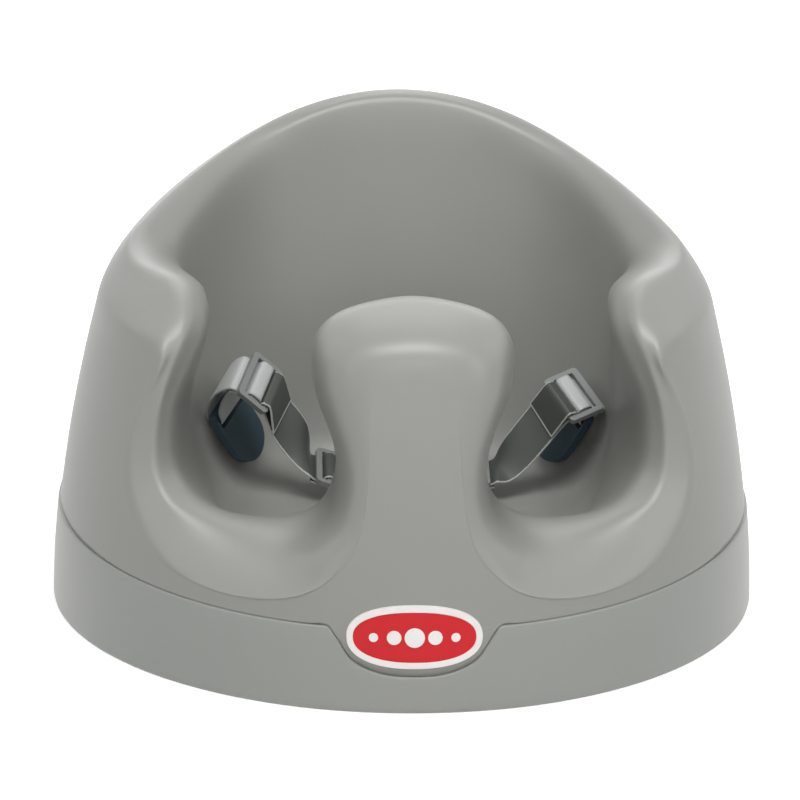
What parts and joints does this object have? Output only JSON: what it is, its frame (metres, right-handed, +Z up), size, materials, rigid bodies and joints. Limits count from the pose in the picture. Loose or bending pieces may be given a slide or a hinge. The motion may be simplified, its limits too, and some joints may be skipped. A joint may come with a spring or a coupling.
{
  "type": "baby floor seat",
  "caption": "Moulded foam floor seat for a baby: a deep bucket with a pommel between the leg openings, on a low oval base, with a waist harness.",
  "frame": {"origin": "on the floor, under the middle of the base", "axes": "+Z up, +Y towards the backrest, so the sitter faces -Y; +X across the seat"},
  "size_m": [0.38, 0.3654, 0.2458],
  "materials": {
    "foam_skin": "satin skin of moulded polyurethane foam",
    "base_plastic": "satin moulded plastic",
    "base_plate": "moulded plastic",
    "screw_steel": "zinc plated",
    "bush_brass": "turned",
    "pad_rubber": "matte",
    "badge_white": "glossy",
    "badge_red": "glossy",
    "webbing_dark": "flat woven webbing with a light selvedge",
    "webbing_light": "flat woven webbing, smooth and slightly shiny",
    "adjuster_plastic": "satin moulded plastic",
    "buckle_plastic": "satin moulded plastic",
    "button_plastic": "satin moulded plastic",
    "anchor_plastic": "satin moulded plastic",
    "spring_steel": "drawn wire"
  },
  "bodies": {
    "seat": {"seat_body": "foam_skin", "base_ring": "base_plastic", "base_plate": "base_plate", "base_screws": "screw_steel", "screw_bushes": "bush_brass", "foot_pad_front_left": "pad_rubber", "foot_pad_front_right": "pad_rubber", "foot_pad_rear_left": "pad_rubber", "foot_pad_rear_right": "pad_rubber", "badge_plate": "badge_white", "badge_field": "badge_red", "badge_dots": "badge_white", "anchor_left": "anchor_plastic", "anchor_right": "anchor_plastic", "anchor_sleeve_left": "anchor_plastic", "anchor_sleeve_right": "anchor_plastic", "anchor_loop_left": "webbing_light", "anchor_loop_right": "webbing_light", "adjuster_left": "adjuster_plastic", "adjuster_right": "adjuster_plastic", "lap_strap_left": "webbing_dark", "lap_strap_right": "webbing_dark", "buckle_front_cover": "buckle_plastic", "buckle_rear_cover": "buckle_plastic", "button_spring": "spring_steel", "crotch_strap": "webbing_light", "crotch_anchor": "anchor_plastic"},
    "tongue_left": {"tongue_left": "buckle_plastic"},
    "tongue_right": {"tongue_right": "buckle_plastic"},
    "release_button": {"release_button": "button_plastic"}
  },
  "joints": [
    {"name": "tongue_left_slide", "type": "slide", "parent": "seat", "child": "tongue_left", "axis": [-1, 0, 0], "range_m": [0, 0.022], "deforming": ["lap_strap_left"]},
    {"name": "tongue_right_slide", "type": "slide", "parent": "seat", "child": "tongue_right", "axis": [1, 0, 0], "range_m": [0, 0.022], "deforming": ["lap_strap_right"]},
    {"name": "release_button_press", "type": "slide", "parent": "seat", "child": "release_button", "axis": [0, 0.2402, -0.9707], "range_m": [0, 0.003], "stiffness_N_per_m": 300, "springref_m": -0.002, "deforming": ["button_spring"]}
  ]
}
